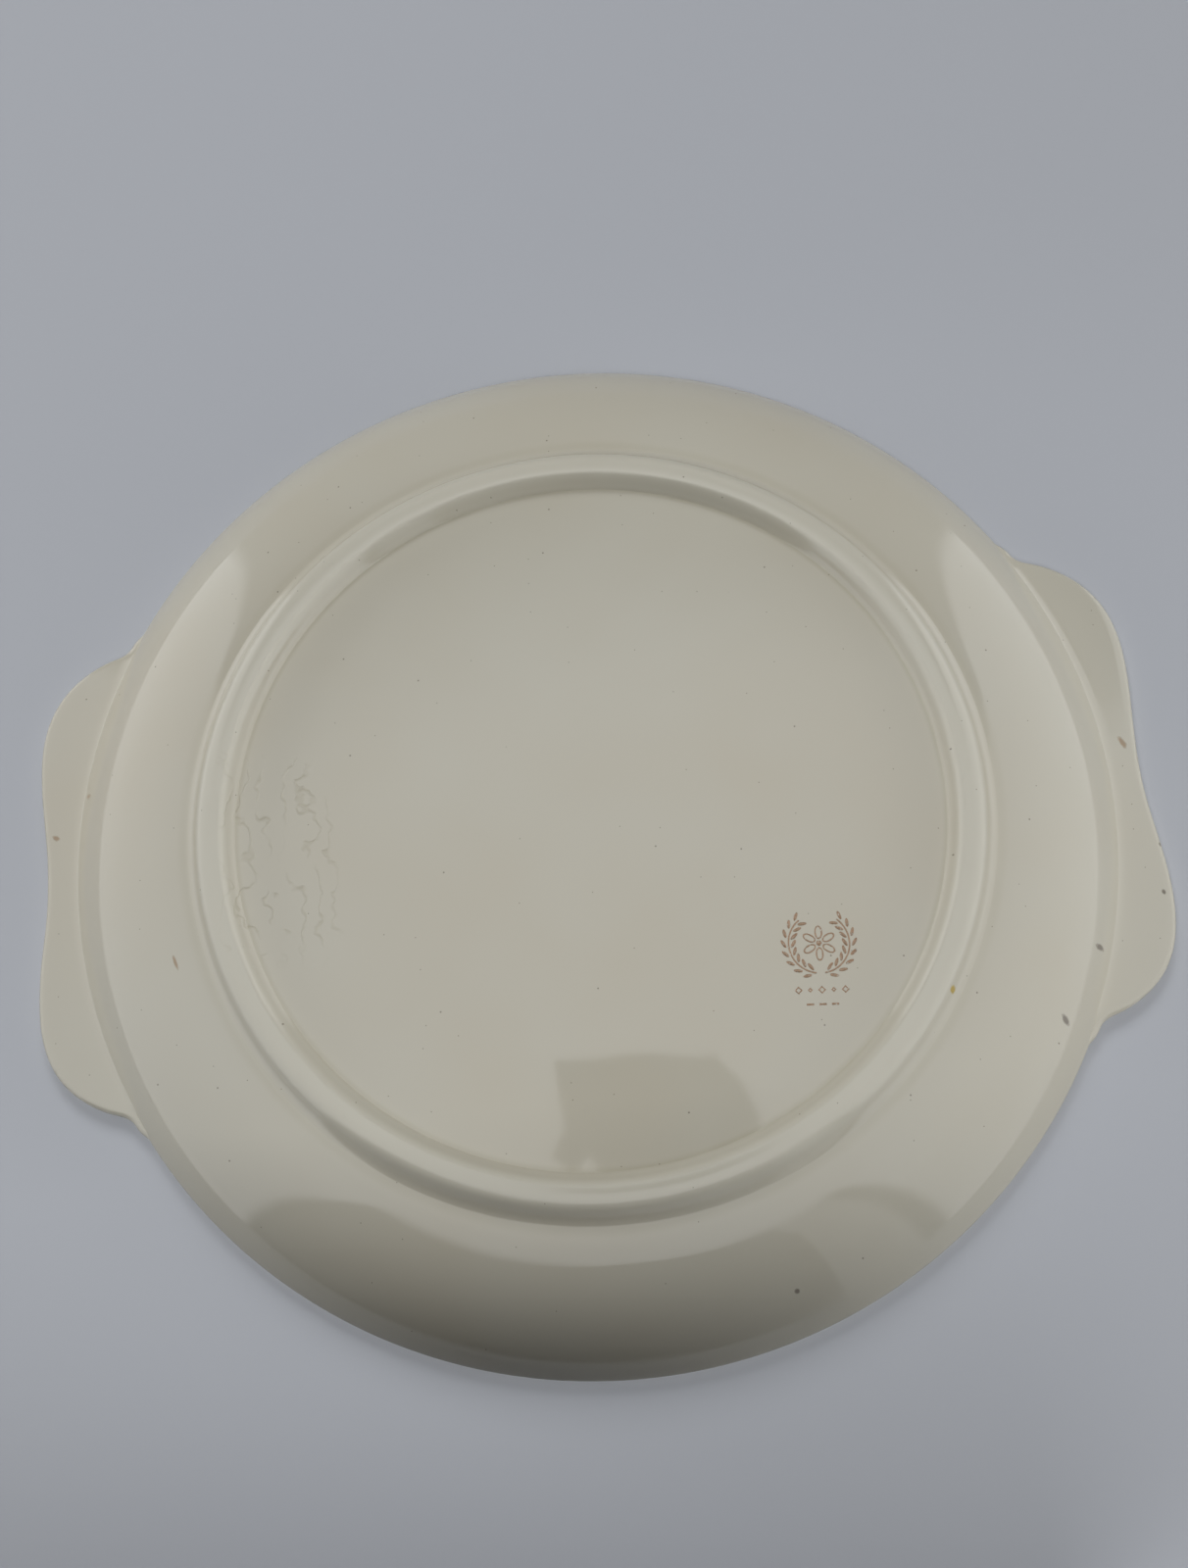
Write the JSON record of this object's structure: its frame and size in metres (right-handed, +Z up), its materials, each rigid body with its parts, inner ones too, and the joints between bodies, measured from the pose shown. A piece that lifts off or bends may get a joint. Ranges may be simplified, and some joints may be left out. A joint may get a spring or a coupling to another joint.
{
  "type": "serving dish",
  "caption": "Shallow round glazed serving dish on a foot ring, with two flat lobed tab handles at its rim.",
  "frame": {"origin": "middle of the dish, on the plane that the foot stands on", "axes": "+Z up out of the dish, +X towards one handle, +Y across between the handles"},
  "size_m": [0.2994, 0.28, 0.025],
  "materials": {
    "cream_glaze": "glossy cream glaze, faintly uneven, with a few iron specks",
    "gold": "fired-on gold line, slightly worn",
    "stamp_ink": "thin brown-gold print under the glaze"
  },
  "bodies": {
    "root": {"dish_body": "cream_glaze", "foot_ring": "cream_glaze", "tab_handle_right": "cream_glaze", "tab_handle_left": "cream_glaze", "gold_edge_line": "gold", "gold_well_line": "gold", "backstamp_print": "stamp_ink"}
  },
  "joints": []
}
